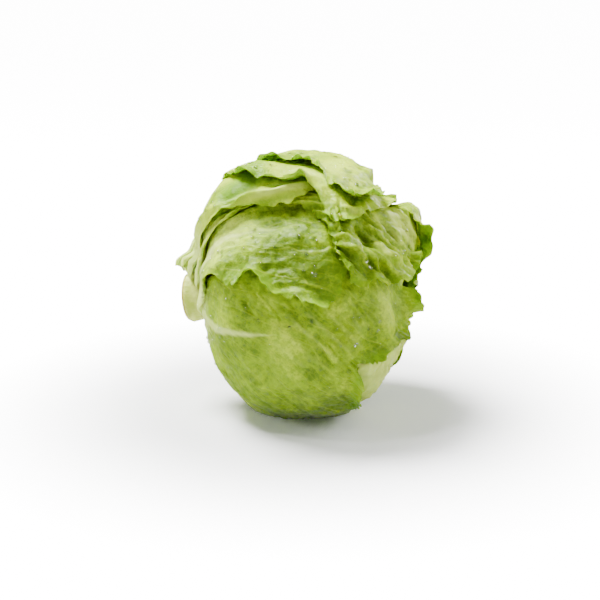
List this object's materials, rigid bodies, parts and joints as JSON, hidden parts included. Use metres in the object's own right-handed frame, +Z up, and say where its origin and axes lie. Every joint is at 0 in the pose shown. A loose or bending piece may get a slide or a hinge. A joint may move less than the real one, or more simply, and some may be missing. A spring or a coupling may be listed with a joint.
{
  "type": "head of lettuce",
  "caption": "Whole head of iceberg lettuce with a dense heart, a cut stem and loosely wrapped outer leaves, lying on its side.",
  "frame": {"origin": "under the middle of the head's bounding box, on the surface it rests on", "axes": "+Z up, away from the surface; -Y is the front, towards the camera; the cut stem points to -X, a little back and down"},
  "size_m": [0.1758, 0.1686, 0.1734],
  "materials": {
    "heart_leaf": "pale waxy leaf",
    "cut_stem": "cream cut stem, damp",
    "outer_leaf": "green waxy leaf with paler ribs"
  },
  "bodies": {
    "root": {"heart": "heart_leaf", "stem": "cut_stem", "leaf_underside": "outer_leaf", "leaf_back_low": "outer_leaf", "leaf_front_low": "outer_leaf", "leaf_front_high": "outer_leaf", "leaf_end_wrap": "outer_leaf", "leaf_back_high": "outer_leaf", "leaf_back_mid": "outer_leaf", "leaf_crown_low": "outer_leaf", "leaf_crown_mid": "outer_leaf", "leaf_crown_top": "outer_leaf"}
  },
  "joints": []
}
